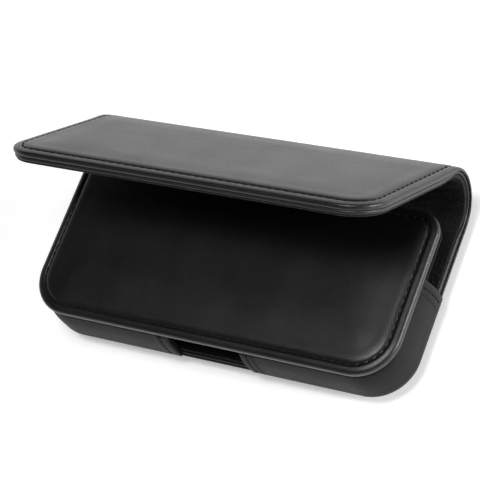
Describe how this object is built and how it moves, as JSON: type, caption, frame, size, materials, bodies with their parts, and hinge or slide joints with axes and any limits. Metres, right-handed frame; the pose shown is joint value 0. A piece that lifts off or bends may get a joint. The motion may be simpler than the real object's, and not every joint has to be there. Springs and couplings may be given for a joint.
{
  "type": "leather belt pouch",
  "caption": "Flat horizontal leather pouch with a padded wrap-over flap standing half open, rounded side gussets with a notched bottom, and belt loops on the back.",
  "frame": {"origin": "on the surface that the belt loops rest on, below the middle of the pouch's outline", "axes": "+X across the pouch, +Y up the pouch from its bottom edge to the fold, +Z out of the front panel"},
  "size_m": [0.1424, 0.0782, 0.0726],
  "materials": {
    "leather": "satin black, fine smooth grain",
    "backing_leather": "satin black, cut and turned edges",
    "gusset_leather": "soft satin charcoal",
    "lining": "matt black plush",
    "foam": "open foam",
    "board": "fibre board",
    "keeper_steel": "plain steel",
    "magnet": "nickel plated",
    "thread": "waxed polyester thread"
  },
  "bodies": {
    "case": {"back_leather": "leather", "back_backing": "backing_leather", "back_board": "board", "back_lining": "lining", "back_thread": "thread", "gusset_left": "gusset_leather", "gusset_right": "gusset_leather", "gusset_lining_left": "lining", "gusset_lining_right": "lining", "gusset_thread_left": "thread", "gusset_thread_right": "thread", "front_lining": "lining", "front_board": "board", "front_keeper_left": "keeper_steel", "front_keeper_right": "keeper_steel", "front_backing": "backing_leather", "front_foam": "foam", "front_leather": "leather", "front_thread": "thread", "belt_loop_left": "leather", "belt_loop_right": "leather", "belt_loop_thread_left": "thread", "belt_loop_thread_right": "thread", "fold_leather": "leather", "fold_backing": "backing_leather", "fold_lining": "lining"},
    "flap": {"flap_leather": "leather", "flap_foam": "foam", "flap_board": "board", "flap_magnet_left": "magnet", "flap_magnet_right": "magnet", "flap_backing": "backing_leather", "flap_lining": "lining", "flap_thread": "thread"}
  },
  "joints": [
    {"name": "flap_hinge", "type": "hinge", "parent": "case", "child": "flap", "pos_m": [0, 0.02829, 0.02], "axis": [1, 0, 0], "range_deg": [-130.5, 49.5], "deforming": ["fold_leather", "fold_backing", "fold_lining"]}
  ]
}
